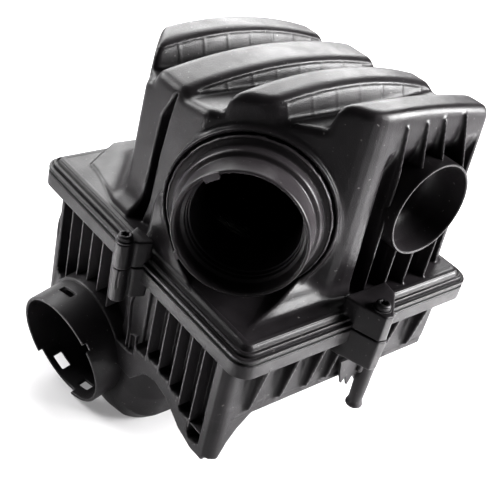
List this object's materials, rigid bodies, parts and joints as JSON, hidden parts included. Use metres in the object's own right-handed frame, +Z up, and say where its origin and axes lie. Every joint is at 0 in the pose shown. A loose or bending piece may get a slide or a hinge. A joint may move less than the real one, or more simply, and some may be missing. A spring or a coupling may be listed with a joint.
{
  "type": "engine air filter housing",
  "caption": "Engine air filter box: a ribbed domed cover with a flanged outlet and a side duct, a deep case with a round inlet, and a pleated element clamped between.",
  "frame": {"origin": "bottom centre of the bounding box, under the well's flat floor level", "axes": "+Z up, square to the clamping flange; +Y along the flange's long side, away from the wall with the side duct; +X towards the plain side, so the inlet points to -X"},
  "size_m": [0.2674, 0.289, 0.2992],
  "materials": {
    "cover_plastic": "satin black moulded plastic",
    "outlet_plastic": "satin black moulded plastic, rough at the collar",
    "seal_rubber": "dull black rubber",
    "sleeve_steel": "plain steel",
    "screw_steel": "black oxide steel",
    "case_plastic": "satin black moulded plastic",
    "insert_brass": "turned brass",
    "filter_rubber": "soft black rubber",
    "filter_paper": "cream pleated paper",
    "screen_wire": "fine wire mesh"
  },
  "bodies": {
    "case": {"lower_case": "case_plastic", "front_gussets": "case_plastic", "rear_gussets": "case_plastic", "right_gussets": "case_plastic", "inlet_tube": "case_plastic", "rim_gasket": "seal_rubber", "threaded_inserts": "insert_brass", "locating_peg": "case_plastic", "peg_buffer": "seal_rubber", "support_tab": "case_plastic"},
    "cover": {"upper_cover": "cover_plastic", "cover_ribs": "cover_plastic", "outlet_tube": "outlet_plastic", "outlet_seal": "seal_rubber", "side_duct": "cover_plastic", "screw_sleeves": "sleeve_steel"},
    "filter": {"filter_media": "filter_paper", "filter_seal": "filter_rubber", "filter_screen": "screen_wire"},
    "left_fastener": {"screw_left": "screw_steel"},
    "front_fastener": {"screw_front": "screw_steel"},
    "right_fastener": {"screw_right": "screw_steel"},
    "rear_fastener": {"screw_rear": "screw_steel"}
  },
  "joints": [
    {"name": "cover_lift", "type": "slide", "parent": "case", "child": "cover", "axis": [0, 0, 1], "range_m": [0, 0.16]},
    {"name": "filter_lift", "type": "slide", "parent": "case", "child": "filter", "axis": [0, 0, 1], "range_m": [0, 0.08]},
    {"name": "left_screw_out", "type": "slide", "parent": "cover", "child": "left_fastener", "axis": [0, 0, 1], "range_m": [0, 0.016]},
    {"name": "front_screw_out", "type": "slide", "parent": "cover", "child": "front_fastener", "axis": [0, 0, 1], "range_m": [0, 0.016]},
    {"name": "right_screw_out", "type": "slide", "parent": "cover", "child": "right_fastener", "axis": [0, 0, 1], "range_m": [0, 0.016]},
    {"name": "rear_screw_out", "type": "slide", "parent": "cover", "child": "rear_fastener", "axis": [0, 0, 1], "range_m": [0, 0.016]}
  ],
  "couplings": [
    {"joint": "filter_lift", "follows": "cover_lift", "ratio": 0.5}
  ]
}
